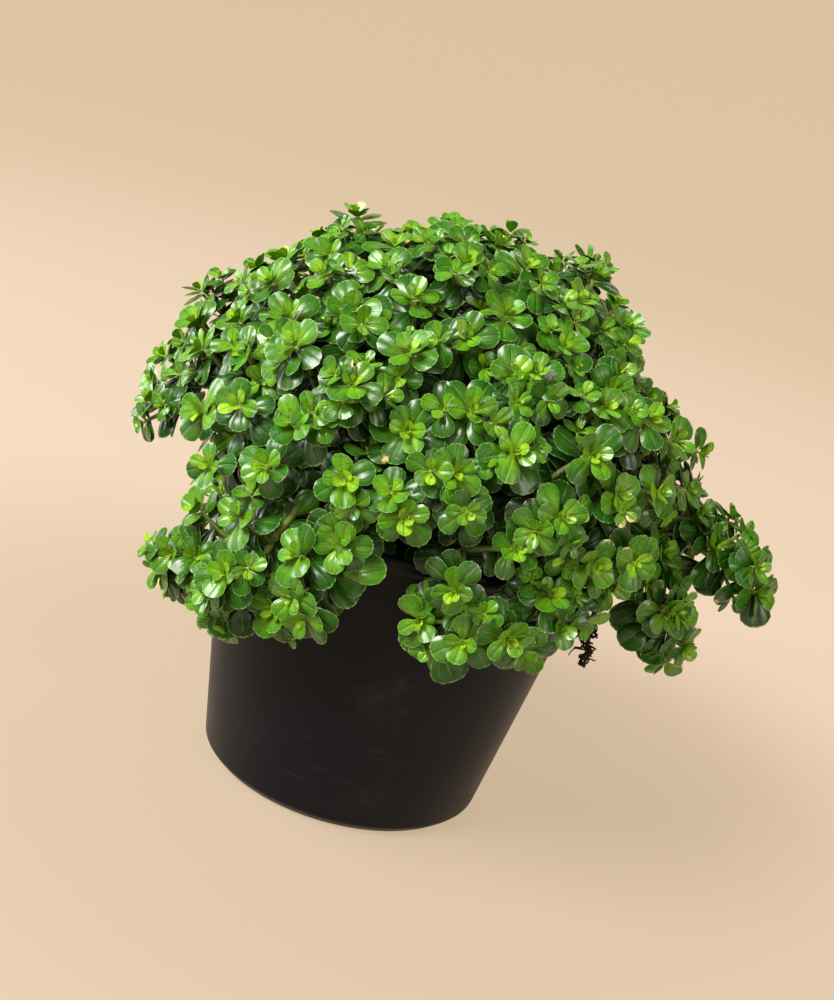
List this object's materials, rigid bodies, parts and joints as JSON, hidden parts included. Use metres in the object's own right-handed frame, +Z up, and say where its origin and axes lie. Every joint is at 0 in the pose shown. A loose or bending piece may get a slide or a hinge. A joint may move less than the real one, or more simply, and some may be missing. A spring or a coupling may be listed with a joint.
{
  "type": "potted pilea depressa",
  "caption": "Mounding small-leaved houseplant in a tapered round nursery pot, with shoots that trail over the rim; it stands on the pot's flat base.",
  "frame": {"origin": "centre of the pot's underside, on the surface that it stands on", "axes": "+Z up along the pot's axis; -Y is the front, seen in the picture; +X is to its right"},
  "size_m": [0.1682, 0.1434, 0.1484],
  "materials": {
    "pot": "smooth satin charcoal polypropylene",
    "soil": "damp crumbly peat and bark",
    "foliage": "glossy fleshy bright green leaf",
    "dry_root": "dry black fibre"
  },
  "bodies": {
    "root": {"pot": "pot", "soil": "soil", "crown_heart": "foliage", "dry_root": "dry_root", "left_spill_far": "foliage", "left_spill_near": "foliage", "left_spill_front": "foliage", "front_creeper": "foliage", "right_low": "foliage", "right_reacher": "foliage", "back_spill_right": "foliage", "back_spill_middle": "foliage", "back_spill_left": "foliage", "crown_shoot_01": "foliage", "crown_shoot_02": "foliage", "crown_shoot_03": "foliage", "crown_shoot_04": "foliage", "crown_shoot_05": "foliage", "crown_shoot_06": "foliage", "crown_shoot_07": "foliage", "crown_shoot_08": "foliage", "crown_shoot_09": "foliage", "crown_shoot_10": "foliage", "crown_shoot_11": "foliage", "crown_shoot_12": "foliage", "crown_shoot_13": "foliage", "crown_shoot_14": "foliage", "crown_shoot_15": "foliage", "crown_shoot_16": "foliage", "crown_shoot_17": "foliage", "crown_shoot_18": "foliage", "crown_shoot_19": "foliage", "crown_shoot_20": "foliage", "crown_shoot_21": "foliage", "crown_shoot_22": "foliage"}
  },
  "joints": []
}
